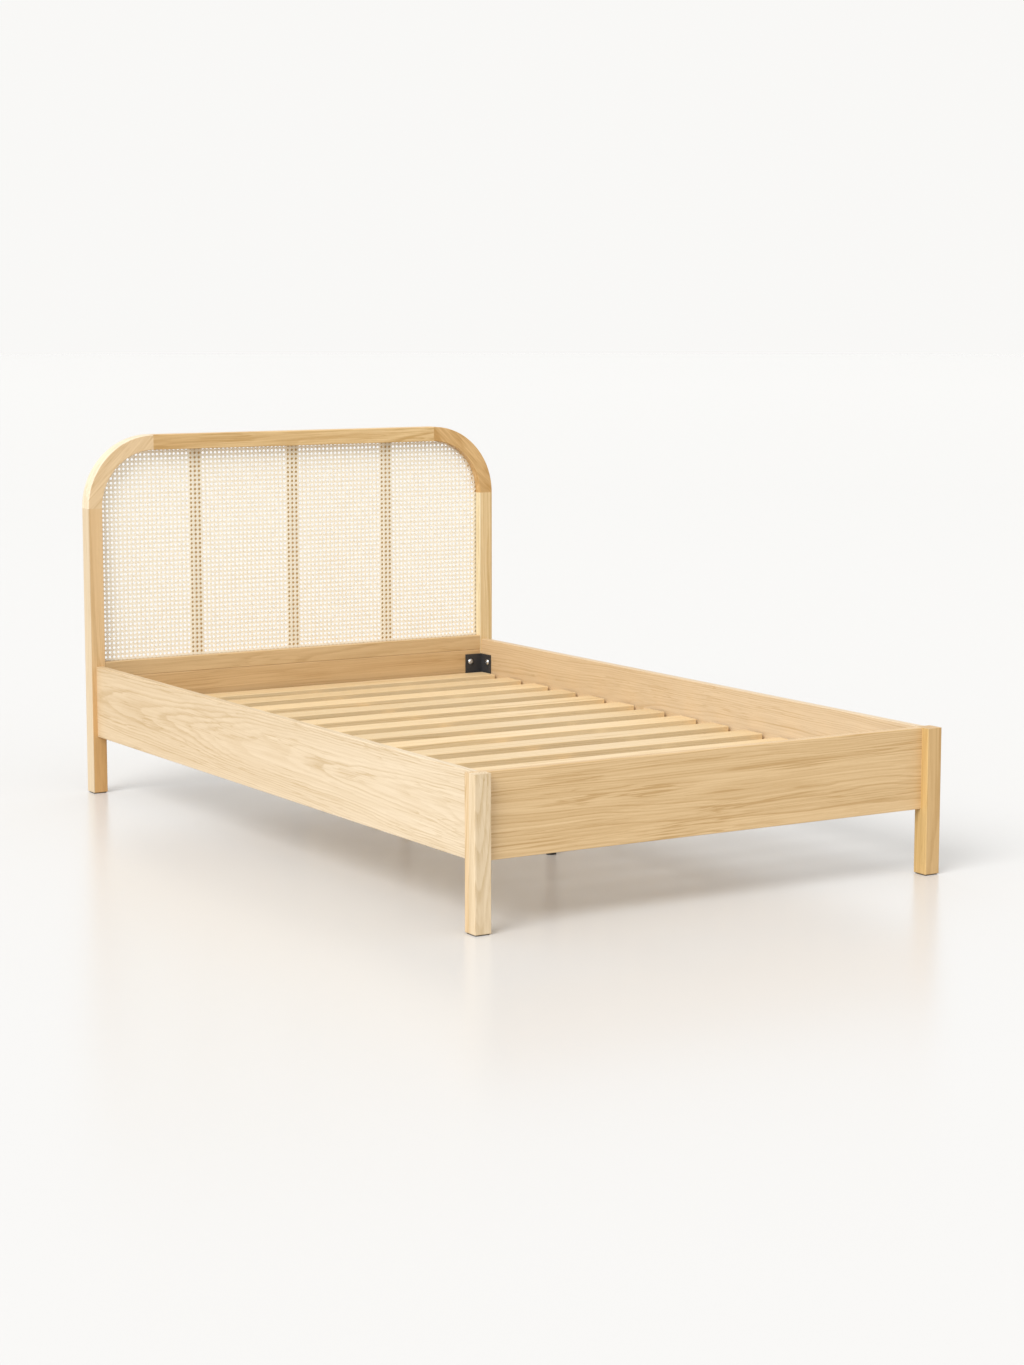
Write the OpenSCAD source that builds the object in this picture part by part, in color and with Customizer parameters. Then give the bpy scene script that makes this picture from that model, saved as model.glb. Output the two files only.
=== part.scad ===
// Oak bed frame with an arched, cane-filled headboard.
// Origin: on the floor, in the middle of the plan. +X right, +Y towards the headboard, +Z up.
// Left and right are as seen from the foot of the bed, facing the headboard.

/* [Mattress] */
// Width of the mattress that the frame takes
mattress_w = 1200; // [900:10:1800]
// Length of the mattress that the frame takes
mattress_l = 2000; // [1600:10:2400]
// Gap between the mattress and each side rail
side_gap = 8; // [8:1:20]
// Gap between the mattress and each end of the frame
end_gap = 17; // [12:1:40]
// Height of the slats' top face, where the mattress lies
slat_top = 258; // [235:1:300]

/* [Headboard] */
// Height of the headboard
head_h = 990; // [800:5:1300]
// Depth of the headboard frame, front to back
head_d = 43; // [36:1:60]
// Outer radius of the two arched corners
arch_r = 198; // [140:1:280]
// Height of the lower edge of the cane field
cane_bottom = 366; // [355:1:480]
// Height of the rail under the cane field
cane_rail_h = 42; // [30:1:60]
// Setback of the cane from the front of the headboard frame
cane_setback = 24; // [12:1:30]
// Thickness of the woven cane
cane_t = 3; // [2:0.5:4]
// Depth of the groove that holds the cane's edge, in the frame's inner faces
groove_d = 8; // [5:0.5:12]
// Clearance of the cane in its groove
cane_gap = 0.3; // [0.1:0.1:1]
// Width of the three upright bars behind the cane
bar_w = 30; // [20:1:50]
// Distance between the bars, centre to centre
bar_pitch = 306; // [200:1:420]

/* [Posts and rails] */
// Width of every post, across the bed
post_w = 42; // [34:1:60]
// Depth of the foot posts, along the bed
foot_post_d = 44; // [36:1:60]
// Height of the foot posts and of the top edge of the rails
rail_top = 355; // [340:1:400]
// Height of the side rails and of the foot rail
rail_h = 196; // [160:1:240]
// Thickness of the rails
rail_t = 22; // [18:1:30]
// Setback of each side rail from the outer face of the posts
side_inset = 15; // [5:1:20]
// Radius of the eased edges of posts and rails
edge_r = 2; // [1:0.5:6]
// Chamfer round the lower end of each post
foot_chamfer = 2; // [1:0.5:5]

/* [Slatted base] */
// Width of each slat
slat_w = 75; // [60:1:95]
// Thickness of each slat
slat_t = 18; // [12:1:22]
// Clearance between a slat's end and the heads of the bracket bolts
slat_end_gap = 1.5; // [0.5:0.5:4]
// Width and height of each ledger
ledger_s = 30; // [24:1:40]
// Gap between a ledger's end and the corner bracket
ledger_end_gap = 8; // [4:1:20]
// Width of the centre beam
beam_w = 30; // [24:1:60]
// Height of the centre beam
beam_h = 60; // [45:1:70]
// Distance of each tape from the bed's centre line
tape_x = 300; // [150:10:400]
// Width of the tape under the slats
tape_w = 25; // [15:1:40]
// Thickness of the tape
tape_t = 0.8; // [0.5:0.1:1.5]

/* [Centre legs] */
// Diameter of the round centre legs
leg_d = 28; // [26:1:40]
// Distance between the two centre legs
leg_pitch = 734; // [600:2:1100]
// Height of the lower end of the centre legs
leg_bottom = 8; // [8:1:30]
// Depth of the flat that each leg bolt's head sits on
leg_flat = 2; // [1.5:0.5:4]
// Drop of the legs' upper end below the slats
leg_drop = 6; // [2:1:20]
// Radius of the levelling pad
pad_r = 13; // [10:1:20]
// Thickness of the levelling pad
pad_t = 4; // [4:0.5:6]
// Height of the levelling screw's hexagon
hex_h = 3; // [2:0.5:4]
// Length of the levelling screw's thread
level_screw_l = 40; // [30:1:60]

/* [Hardware] */
// Thickness of the glides under the posts
glide_t = 2; // [2:0.5:5]
// Margin between a glide and the edge of its post
glide_margin = 3; // [2:0.5:8]
// Length of each leg of a corner bracket
bracket_leg = 56; // [50:1:70]
// Height of the corner brackets
bracket_h = 140; // [110:1:150]
// Thickness of the corner brackets
bracket_t = 3; // [2:0.5:4]
// Distance of the bracket bolts from the inner corner
bolt_out = 40; // [34:1:44]
// Distance of the bracket bolts from the bracket's ends
bolt_end = 22; // [14:1:30]
// Radius of the bracket bolts and of the levelling screws
bolt_r = 4; // [3:0.5:5]
// Length of a bracket bolt under its head
bolt_l = 18; // [14:1:20]
// Radius of the threaded inserts
insert_r = 6; // [5.5:0.5:8]
// Length of the threaded inserts
insert_l = 14; // [10:1:15]
// Radius of the bolts through the centre legs
leg_bolt_r = 3; // [2.5:0.5:4]
// Radius of the dowels
dowel_r = 5; // [3:0.5:6]
// Length of the dowels
dowel_l = 40; // [30:1:50]
// Radius of the thin dowels in the ends of the cane bars
bar_dowel_r = 3; // [2:0.5:4]
// Length of the thin dowels
bar_dowel_l = 24; // [16:1:36]
// Radius of the ledger screws
ledger_screw_r = 2.25; // [1.5:0.25:3]
// Length of the ledger screws
ledger_screw_l = 45; // [40:1:48]
// Sheet thickness of the beam hangers
hanger_t = 2; // [1.5:0.5:3]
// Length of a beam hanger's seat
hanger_l = 42; // [30:1:60]
// Width of the ears beside a beam hanger
ear_w = 16; // [12:1:24]
// Radius of the hanger screws
hanger_screw_r = 2; // [1.5:0.25:2.5]
// Radial clearance of every pin, screw and dowel in its hole
fit = 0.1; // [0.05:0.05:0.3]

/* [Hidden] */
$fn = 48;
left = -1;
right = 1;
foot = -1;
head = 1;
slat_count = 14;
ledger_screw_count = 6;
leg_names = [["front", foot], ["rear", head]];
function slat_name(i) = str("slat_", i < 10 ? "0" : "", i);

// Plan: the well between the rails, then the faces round it
well_w = mattress_w + 2 * side_gap;
well_l = mattress_l + 2 * end_gap;
frame_w = well_w + 2 * (rail_t + side_inset);
frame_l = well_l + foot_post_d + head_d;
foot_end = -frame_l / 2;
head_end = frame_l / 2;
foot_face = foot_end + foot_post_d;
head_face = head_end - head_d;
well_mid_y = (foot_face + head_face) / 2;
post_x = (frame_w - post_w) / 2;
side_rail_x = (well_w + rail_t) / 2;
foot_rail_y = foot_face - rail_t / 2;
head_rail_y = head_face + rail_t / 2;
head_mid_y = (head_face + head_end) / 2;

// Levels
rail_bottom = rail_top - rail_h;
rail_mid = rail_top - rail_h / 2;
ledger_top = slat_top - slat_t;
head_rail_top = cane_bottom - cane_rail_h;
arch_z = head_h - arch_r;
arch_x = frame_w / 2 - arch_r;

// Cane field
field_w = frame_w - 2 * post_w;
field_top = head_h - post_w;
field_r = arch_r - post_w;
cane_front = head_face + cane_setback;
bar_front = cane_front + cane_t;
bar_d = head_end - bar_front;

// Slats
bolt_head_h = 4.5;
slat_l = well_w - 2 * (bracket_t + bolt_head_h + slat_end_gap);
slat_first_y = foot_face + end_gap + slat_w / 2;
slat_pitch = (well_l - 2 * end_gap - slat_w) / (slat_count - 1);

// Ledgers
ledger_l = well_l - 2 * (bracket_leg + ledger_end_gap);
ledger_x = (well_w - ledger_s) / 2;
ledger_screw_pitch = (ledger_l - 4 * ledger_s) / (ledger_screw_count - 1);
screw_head_h = 2.5;

// Centre beam, its legs and hangers
beam_end_gap = 1;
beam_l = well_l - 2 * (hanger_t + beam_end_gap);
beam_bottom = ledger_top - beam_h;
leg_x = -beam_w / 2;
leg_top = ledger_top - leg_drop;
leg_bolt_levels = [beam_bottom + beam_h * 0.28, beam_bottom + beam_h * 0.72];
leg_grip = leg_d / 2 - leg_flat + beam_w;
leg_flange_h = 1;
leg_head_h = 3.5;
washer_t = 1.5;
nut_h = 5;
thread_end = 2;
cheek_gap = 0.5;
cheek_h = beam_h * 0.7;
hanger_w = beam_w + 2 * (cheek_gap + hanger_t + ear_w);
ear_x = (hanger_w - ear_w) / 2;
ear_top = ledger_top - 4;
ear_levels = [ear_top - 10, ear_top - 34];
spigot_r = 3;
spigot_l = 2.5;
pad_slope = 1.5;
level_screw_top = pad_t + hex_h + level_screw_l;
level_bore_spare = 3;

// Bracket bolts, counted from an inner corner at the brackets' mid height
bracket_mid = (rail_bottom + head_rail_top) / 2;
bolt_levels = [bolt_end - bracket_h / 2, bracket_h / 2 - bolt_end];
bolt_head_r = 8;
socket_r = 2.9;
bore_spare = 1.5;

// Dowels: [position, direction], where 0 runs along X, 1 along Y and 2 along Z
across = 0;
along = 1;
upright = 2;
joint_x = frame_w / 2 - post_w;
end_levels = [rail_bottom + 28, rail_top - 28];
head_levels = [rail_bottom + 28, rail_mid];
side_levels = [rail_bottom + 55, rail_top - 55];
arch_offsets = [-head_d / 4, head_d / 4];
dowel_list = concat(
    [for (s = [left, right], z = end_levels) [[s * joint_x, foot_rail_y, z], across]],
    [for (s = [left, right], z = head_levels) [[s * joint_x, head_rail_y, z], across]],
    [for (s = [left, right]) [[s * joint_x, head_mid_y, cane_bottom - cane_rail_h / 2], across]],
    [for (s = [left, right], y = [foot_face, head_face], z = side_levels)
        [[s * side_rail_x, y, z], along]],
    [for (s = [left, right], y = arch_offsets) [[s * post_x, head_mid_y + y, arch_z], upright]],
    [for (s = [left, right], y = arch_offsets)
        [[s * arch_x, head_mid_y + y, head_h - post_w / 2], across]]);

oak = "#ecd2a6";
oak_board = "#dcb987";
cane_colour = "#f1e2c4";
pine = "#efdcb4";
steel = "#a9abad";
black = "#2b2926";

// A rectangle with round corners, centred
module rounded_rect(w, h, r) {
    square([w - 2 * r, h], center = true);
    square([w, h - 2 * r], center = true);
    for (x = [-1, 1], y = [-1, 1]) translate([x * (w / 2 - r), y * (h / 2 - r)]) circle(r);
}

// Bars of rounded section, centred, along X and along Y
module bar_along_x(l, d, h, r) rotate([90, 0, 90]) linear_extrude(l, center = true)
    rounded_rect(d, h, r);
module bar_along_y(l, w, h, r) rotate([90, 0, 0]) linear_extrude(l, center = true)
    rounded_rect(w, h, r);

// A block given by its lowest corner and its size
module block(low, size) translate(low) cube(size);

// Turns a solid that stands along Z so that it lies along X or Y
module turned(direction) rotate(direction == across ? [0, 90, 0] :
    direction == along ? [90, 0, 0] : [0, 0, 0]) children();

// Every dowel, and every dowel hole, in its place
module each_dowel(r, l) for (d = dowel_list)
    translate(d[0]) turned(d[1]) cylinder(r = r, h = l, center = true);
module dowel_holes() each_dowel(dowel_r + fit, dowel_l + 2 * fit);
module each_bar_dowel(r, l) for (place = [-1:1], z = [cane_bottom, field_top])
    translate([place * bar_pitch, bar_front + bar_d / 2, z]) cylinder(r = r, h = l, center = true);
module bar_dowel_holes() each_bar_dowel(bar_dowel_r + fit, bar_dowel_l + 2 * fit);

// A frame at an inner corner of the well: x and y point into the well, z = 0 at mid bracket
module at_corner(side, end) translate([side * well_w / 2, end == head ? head_face : foot_face,
    bracket_mid]) mirror([side == right ? 1 : 0, 0, 0]) mirror([0, end == head ? 1 : 0, 0])
    children();

// The four bolt axes of one corner: children point from the bracket's face into the rail (-z)
module at_bracket_bolts() for (z = bolt_levels) {
    translate([bracket_t, bolt_out, z]) rotate([0, 90, 0]) children();
    translate([bolt_out, bracket_t, z]) rotate([-90, 0, 0]) children();
}
module insert_holes() for (s = [left, right], e = [foot, head]) at_corner(s, e)
    at_bracket_bolts() translate([0, 0, -bolt_l - bore_spare])
        cylinder(r = insert_r + fit, h = bolt_l + bore_spare - bracket_t);

// Ledger screw axes: children point from the ledger's inner face into the rail (-z)
module at_ledger_screws(side) for (i = [0:ledger_screw_count - 1])
    translate([side * (well_w / 2 - ledger_s),
        well_mid_y + (i - (ledger_screw_count - 1) / 2) * ledger_screw_pitch,
        ledger_top - ledger_s / 2]) rotate([0, -side * 90, 0]) children();
module ledger_screw(grow) {
    translate([0, 0, -ledger_screw_l - grow])
        cylinder(r = ledger_screw_r + grow, h = ledger_screw_l + grow);
    translate([0, 0, -screw_head_h]) cylinder(r1 = ledger_screw_r + grow,
        r2 = 2 * ledger_screw_r + grow, h = screw_head_h);
}

// Hanger screw axes: children point from the hanger's plate into the rail (-z)
module at_hanger_screws(end) for (s = [left, right], z = ear_levels)
    translate([s * ear_x, end == head ? head_face - hanger_t : foot_face + hanger_t, z])
        rotate([end == head ? 90 : -90, 0, 0]) children();
module hanger_screw(grow) {
    translate([0, 0, -hanger_t - 14 - grow]) cylinder(r = hanger_screw_r + grow,
        h = hanger_t + 14 + grow);
}

// Leg bolt axes, along X through a leg's cheek and the beam, z = 0 under the bolt's head
module at_leg_bolts() for (l = leg_names, z = leg_bolt_levels)
    translate([leg_x - leg_d / 2 + leg_flat, l[1] * leg_pitch / 2, z]) rotate([0, 90, 0]) children();
module leg_bolt_holes() at_leg_bolts() translate([0, 0, -1])
    cylinder(r = leg_bolt_r + 2 * fit, h = leg_grip + 2);

// The opening of the headboard frame, grown all round, and a sheet of that outline
module field_outline(grown) {
    r = field_r + grown;
    low = cane_bottom - grown;
    half_w = field_w / 2 + grown;
    translate([-half_w, low]) square([2 * half_w, arch_z - low]);
    translate([-arch_x, low]) square([2 * arch_x, field_top + grown - low]);
    for (s = [left, right]) translate([s * arch_x, arch_z]) intersection() {
        circle(r, $fn = 96);
        translate([s > 0 ? 0 : -2 * r, 0]) square(2 * r);
    }
}
module field_sheet(front, thickness, grown) translate([0, front + thickness, 0])
    rotate([90, 0, 0]) linear_extrude(thickness) field_outline(grown);
module cane_groove() field_sheet(cane_front - cane_gap, cane_t + 2 * cane_gap, groove_d);

// Posts -----------------------------------------------------------------------------------

// A post's end chamfers, seen square on: w wide, from z0 to z1, chamfered at its lower end
module chamfered_side(w, z0, z1) polygon([[-w / 2 + foot_chamfer, z0], [w / 2 - foot_chamfer, z0],
    [w / 2, z0 + foot_chamfer], [w / 2, z1], [-w / 2, z1], [-w / 2, z0 + foot_chamfer]]);

module post(side, mid_y, depth, top) color(oak) difference() {
    translate([side * post_x, mid_y, 0]) intersection() {
        translate([0, 0, glide_t]) linear_extrude(top - glide_t)
            rounded_rect(post_w, depth, edge_r);
        rotate([90, 0, 0]) linear_extrude(2 * depth, center = true)
            chamfered_side(post_w, glide_t, top);
        rotate([90, 0, 90]) linear_extrude(2 * post_w, center = true)
            chamfered_side(depth, glide_t, top);
    }
    dowel_holes();
}
module foot_post(side) post(side, foot_end + foot_post_d / 2, foot_post_d, rail_top);
module head_post(side) color(oak) difference() {
    post(side, head_mid_y, head_d, arch_z);
    cane_groove();
}

// Dark glides under the four posts
module post_glides() color(black) for (s = [left, right]) {
    translate([s * post_x, foot_end + foot_post_d / 2, 0]) linear_extrude(glide_t)
        rounded_rect(post_w - 2 * glide_margin, foot_post_d - 2 * glide_margin, edge_r);
    translate([s * post_x, head_mid_y, 0]) linear_extrude(glide_t)
        rounded_rect(post_w - 2 * glide_margin, head_d - 2 * glide_margin, edge_r);
}

// Headboard -------------------------------------------------------------------------------

// A quarter round with the posts' section, from the head of a post to the top rail
module head_corner(side) color(oak) difference() {
    translate([side * arch_x, head_mid_y, arch_z]) mirror([side == left ? 1 : 0, 0, 0])
        rotate([90, 0, 0]) rotate_extrude(angle = 90) translate([arch_r - post_w / 2, 0])
            rounded_rect(post_w, head_d, edge_r);
    dowel_holes();
    cane_groove();
}
module head_top_rail() color(oak) difference() {
    translate([0, head_mid_y, head_h - post_w / 2])
        bar_along_x(2 * arch_x, head_d, post_w, edge_r);
    dowel_holes();
    bar_dowel_holes();
    cane_groove();
}
module cane_bottom_rail() color(oak) difference() {
    translate([0, head_mid_y, cane_bottom - cane_rail_h / 2])
        bar_along_x(2 * joint_x, head_d, cane_rail_h, edge_r);
    dowel_holes();
    bar_dowel_holes();
    cane_groove();
}
// The cane sheet, with its edge in the groove
module cane_panel() color(cane_colour) field_sheet(cane_front, cane_t, groove_d - cane_gap);

// The bars behind the cane, between the lower rail and the top rail
module cane_bar(place) color(pine) difference() {
    block([place * bar_pitch - bar_w / 2, bar_front, cane_bottom],
        [bar_w, bar_d, field_top - cane_bottom]);
    bar_dowel_holes();
}

// Rails -----------------------------------------------------------------------------------

module foot_rail() color(oak_board) difference() {
    translate([0, foot_rail_y, rail_mid]) bar_along_x(2 * joint_x, rail_t, rail_h, edge_r);
    dowel_holes();
    insert_holes();
    at_hanger_screws(foot) hanger_screw(fit);
}
module head_rail() color(oak_board) difference() {
    translate([0, head_rail_y, (rail_bottom + head_rail_top) / 2])
        bar_along_x(2 * joint_x, rail_t, head_rail_top - rail_bottom, edge_r);
    dowel_holes();
    insert_holes();
    at_hanger_screws(head) hanger_screw(fit);
}
module side_rail(side) color(oak) difference() {
    translate([side * side_rail_x, well_mid_y, rail_mid])
        bar_along_y(well_l, rail_t, rail_h, edge_r);
    dowel_holes();
    insert_holes();
    at_ledger_screws(side) ledger_screw(fit);
}

// Slatted base ----------------------------------------------------------------------------

module side_ledger(side) color(pine) difference() {
    translate([side * ledger_x, well_mid_y, ledger_top - ledger_s / 2])
        bar_along_y(ledger_l, ledger_s, ledger_s, edge_r / 2);
    at_ledger_screws(side) ledger_screw(fit);
}
module slat(i) color(pine) translate([0, slat_first_y + (i - 1) * slat_pitch,
    slat_top - slat_t / 2]) bar_along_x(slat_l, slat_w, slat_t, edge_r);
module slat_tape(side) color("white") block([side * tape_x - tape_w / 2,
    slat_first_y - slat_w / 2, ledger_top - tape_t],
    [tape_w, (slat_count - 1) * slat_pitch + slat_w, tape_t]);
module centre_beam() color(pine) difference() {
    translate([0, well_mid_y, ledger_top - beam_h / 2])
        bar_along_y(beam_l, beam_w, beam_h, edge_r);
    leg_bolt_holes();
}

// Hardware --------------------------------------------------------------------------------

// A welded steel shoe: plate on the rail, seat under the beam and a cheek on each side of it
module beam_hanger(end) color(steel) translate([0, end == head ? head_face : foot_face, 0])
    mirror([0, end == head ? 1 : 0, 0]) difference() {
        seat_w = hanger_w - 2 * ear_w;
        union() {
            block([-hanger_w / 2, 0, beam_bottom - hanger_t],
                [hanger_w, hanger_t, ear_top - beam_bottom + hanger_t]);
            block([-seat_w / 2, 0, beam_bottom - hanger_t], [seat_w, hanger_l, hanger_t]);
            for (s = [left, right]) block([s * (seat_w - hanger_t) / 2 - hanger_t / 2, 0,
                beam_bottom - hanger_t], [hanger_t, hanger_l, cheek_h + hanger_t]);
        }
        for (s = [left, right], z = ear_levels) translate([s * ear_x, 0, z])
            rotate([90, 0, 0]) cylinder(r = hanger_screw_r + fit, h = 4 * hanger_t, center = true);
    }
module hanger_screws() color(steel) for (e = [foot, head]) at_hanger_screws(e) {
    hanger_screw(0);
    cylinder(r1 = 2 * hanger_screw_r, r2 = 1.4 * hanger_screw_r, h = screw_head_h);
}
module corner_bracket(side, end) color(steel) at_corner(side, end) difference() {
    union() {
        block([0, 0, -bracket_h / 2], [bracket_t, bracket_leg, bracket_h]);
        block([0, 0, -bracket_h / 2], [bracket_leg, bracket_t, bracket_h]);
    }
    at_bracket_bolts() cylinder(r = bolt_r + 2 * fit, h = 3 * bracket_t, center = true);
}
module bracket_bolt() difference() {
    union() {
        translate([0, 0, -bolt_l]) cylinder(r = bolt_r, h = bolt_l);
        cylinder(r = bolt_head_r, h = bolt_head_h / 3);
        translate([0, 0, bolt_head_h / 3]) cylinder(r1 = bolt_head_r, r2 = bolt_head_r * 0.6,
            h = bolt_head_h * 2 / 3);
    }
    translate([0, 0, bolt_head_h / 3]) cylinder(r = socket_r, h = bolt_head_h, $fn = 6);
}
module bracket_bolts() color(steel) for (s = [left, right], e = [foot, head]) at_corner(s, e)
    at_bracket_bolts() bracket_bolt();
module insert() difference() {
    cylinder(r = insert_r, h = insert_l);
    translate([0, 0, -1]) cylinder(r = bolt_r + fit, h = insert_l + 2);
}
module threaded_inserts() color("#c9a34e") {
    for (s = [left, right], e = [foot, head]) at_corner(s, e) at_bracket_bolts()
        translate([0, 0, -bracket_t - insert_l]) insert();
    for (l = leg_names) translate([leg_x, l[1] * leg_pitch / 2, leg_bottom]) insert();
}
module ledger_screws() color(steel) for (s = [left, right]) at_ledger_screws(s) ledger_screw(0);
module dowels() color(pine) each_dowel(dowel_r, dowel_l);
module bar_dowels() color(pine) each_bar_dowel(bar_dowel_r, bar_dowel_l);

// Centre legs -----------------------------------------------------------------------------

// A round leg, cut back to half its thickness so that the beam stands on its shoulder
module centre_leg(end) color(oak_board) difference() {
    translate([leg_x, end * leg_pitch / 2, leg_bottom]) difference() {
        cylinder(d = leg_d, h = leg_top - leg_bottom);
        block([0, -leg_d, beam_bottom - leg_bottom], [leg_d, 2 * leg_d, beam_h]);
        translate([0, 0, -1]) cylinder(r = insert_r + fit, h = insert_l + 1);
        cylinder(r = bolt_r + 5 * fit, h = level_screw_top + level_bore_spare - leg_bottom);
    }
    leg_bolt_holes();
    at_leg_bolts() translate([0, 0, -2 * leg_flat]) cylinder(r = 2 * leg_bolt_r + 5 * fit,
        h = 2 * leg_flat);
}
module leg_bolts() color(steel) at_leg_bolts() difference() {
    union() {
        cylinder(r = leg_bolt_r, h = leg_grip + washer_t + nut_h + thread_end);
        translate([0, 0, -leg_flange_h]) cylinder(r = 2 * leg_bolt_r, h = leg_flange_h);
        translate([0, 0, -leg_head_h]) cylinder(r1 = 1.2 * leg_bolt_r, r2 = 2 * leg_bolt_r,
            h = leg_head_h - leg_flange_h);
    }
    translate([0, 0, -leg_head_h - 1]) cylinder(r = 0.75 * leg_bolt_r, h = leg_head_h, $fn = 6);
}
module leg_washers() color(steel) at_leg_bolts() translate([0, 0, leg_grip]) difference() {
    cylinder(r = 2.6 * leg_bolt_r, h = washer_t);
    translate([0, 0, -1]) cylinder(r = leg_bolt_r + fit, h = washer_t + 2);
}
module leg_nuts() color(steel) at_leg_bolts() translate([0, 0, leg_grip + washer_t]) difference() {
    cylinder(r = 1.9 * leg_bolt_r, h = nut_h, $fn = 6);
    translate([0, 0, -1]) cylinder(r = leg_bolt_r + fit, h = nut_h + 2);
}

// The levelling foot under a centre leg: a plastic pad, and a screw that turns in it
module leveller_pad(end) color(black) translate([leg_x, end * leg_pitch / 2, 0]) difference() {
    union() {
        cylinder(r = pad_r, h = pad_t - pad_slope);
        translate([0, 0, pad_t - pad_slope]) cylinder(r1 = pad_r, r2 = pad_r * 0.8, h = pad_slope);
    }
    translate([0, 0, pad_t - spigot_l]) cylinder(r = spigot_r + fit, h = spigot_l + 1);
}
module leveller_screw(end) color(steel) translate([leg_x, end * leg_pitch / 2, pad_t]) {
    translate([0, 0, -spigot_l]) cylinder(r = spigot_r, h = spigot_l);
    cylinder(r = 1.8 * bolt_r, h = hex_h, $fn = 6);
    cylinder(r = bolt_r, h = hex_h + level_screw_l);
}

head_post(left);  // head_post_left
head_post(right);  // head_post_right
head_corner(left);  // head_corner_left
head_corner(right);  // head_corner_right
head_top_rail();
cane_bottom_rail();
head_rail();
cane_panel();
cane_bar(-1);  // cane_bar_left
cane_bar(0);  // cane_bar_middle
cane_bar(1);  // cane_bar_right
foot_post(left);  // foot_post_left
foot_post(right);  // foot_post_right
foot_rail();
side_rail(left);  // side_rail_left
side_rail(right);  // side_rail_right
side_ledger(left);  // side_ledger_left
side_ledger(right);  // side_ledger_right
centre_beam();
centre_leg(foot);  // centre_leg_front
centre_leg(head);  // centre_leg_rear
leveller_pad(foot);  // leveller_pad_front
leveller_pad(head);  // leveller_pad_rear
leveller_screw(foot);  // leveller_screw_front
leveller_screw(head);  // leveller_screw_rear
beam_hanger(foot);  // beam_hanger_foot
beam_hanger(head);  // beam_hanger_head
corner_bracket(left, foot);  // corner_bracket_foot_left
corner_bracket(right, foot);  // corner_bracket_foot_right
corner_bracket(left, head);  // corner_bracket_head_left
corner_bracket(right, head);  // corner_bracket_head_right
for (i = [1:slat_count]) slat(i);
slat_tape(left);  // slat_tape_left
slat_tape(right);  // slat_tape_right
bracket_bolts();
threaded_inserts();
leg_bolts();
leg_washers();
leg_nuts();
ledger_screws();
hanger_screws();
dowels();
bar_dowels();
post_glides();
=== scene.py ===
import bpy
import math
from mathutils import Matrix, Vector


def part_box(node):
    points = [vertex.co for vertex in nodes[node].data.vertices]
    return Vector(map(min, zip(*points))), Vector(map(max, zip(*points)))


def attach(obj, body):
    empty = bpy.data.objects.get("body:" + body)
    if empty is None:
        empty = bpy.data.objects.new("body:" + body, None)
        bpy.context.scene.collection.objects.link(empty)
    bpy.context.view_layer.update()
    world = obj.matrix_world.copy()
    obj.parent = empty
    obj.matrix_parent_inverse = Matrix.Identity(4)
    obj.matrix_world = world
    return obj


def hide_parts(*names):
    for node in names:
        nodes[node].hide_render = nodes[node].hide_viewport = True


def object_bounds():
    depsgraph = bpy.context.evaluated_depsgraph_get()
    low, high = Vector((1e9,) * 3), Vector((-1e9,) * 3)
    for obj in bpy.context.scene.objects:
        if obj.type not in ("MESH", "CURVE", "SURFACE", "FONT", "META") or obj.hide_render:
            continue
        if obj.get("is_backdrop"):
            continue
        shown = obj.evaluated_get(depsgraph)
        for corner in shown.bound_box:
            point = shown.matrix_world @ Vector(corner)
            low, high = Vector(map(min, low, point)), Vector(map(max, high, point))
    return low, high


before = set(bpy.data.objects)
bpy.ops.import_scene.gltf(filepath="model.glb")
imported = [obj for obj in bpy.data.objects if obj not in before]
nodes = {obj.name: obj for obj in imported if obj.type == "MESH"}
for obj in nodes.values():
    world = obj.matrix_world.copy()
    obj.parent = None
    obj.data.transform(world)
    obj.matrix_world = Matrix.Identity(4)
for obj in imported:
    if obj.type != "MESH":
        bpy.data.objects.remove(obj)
cad_low, cad_high = (Vector(corner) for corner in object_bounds())
scene = bpy.context.scene

# Studio -----------------------------------------------------------------------------------------
# A white, slightly shiny floor that runs out to the horizon, an even white sky, and one very large
# soft light high on the left, a little to the front. The camera stands before the foot, to the left.

paper = (0.947, 0.940, 0.924, 1.0)
floor_radius = 60.0
floor_white = (0.662, 0.661, 0.662, 1.0)
floor_rough = 0.24
floor_gloss = 0.50
sun_from = Vector((-0.70, -0.33, 0.64))
sun_strength = 2.45
sun_spread = 38.0
sun_tint = (1.0, 0.992, 0.975)
sun_away = 10.0
lens_mm = 74.96
film_mm = 36.0
view_reach = 400.0
camera_place = (-3.70172, -6.2314, 1.37592)
camera_turn = (82.2157, 0.0, -31.3525)


def put(tree, kind, ins=None, **settings):
    """One node, its settings, and what each of its sockets is joined to or set at."""
    node = tree.nodes.new(kind)
    for name, value in settings.items():
        setattr(node, name, value)
    for key, value in (ins or {}).items():
        if isinstance(value, bpy.types.NodeSocket):
            tree.links.new(value, node.inputs[key])
        else:
            node.inputs[key].default_value = value
    return node


sky = bpy.data.worlds.new("Studio sky")
scene.world = sky
sky.use_nodes = True
sky.node_tree.nodes["Background"].inputs["Color"].default_value = paper
sky.node_tree.nodes["Background"].inputs["Strength"].default_value = 1.0
scene.view_settings.view_transform = "Standard"

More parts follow.
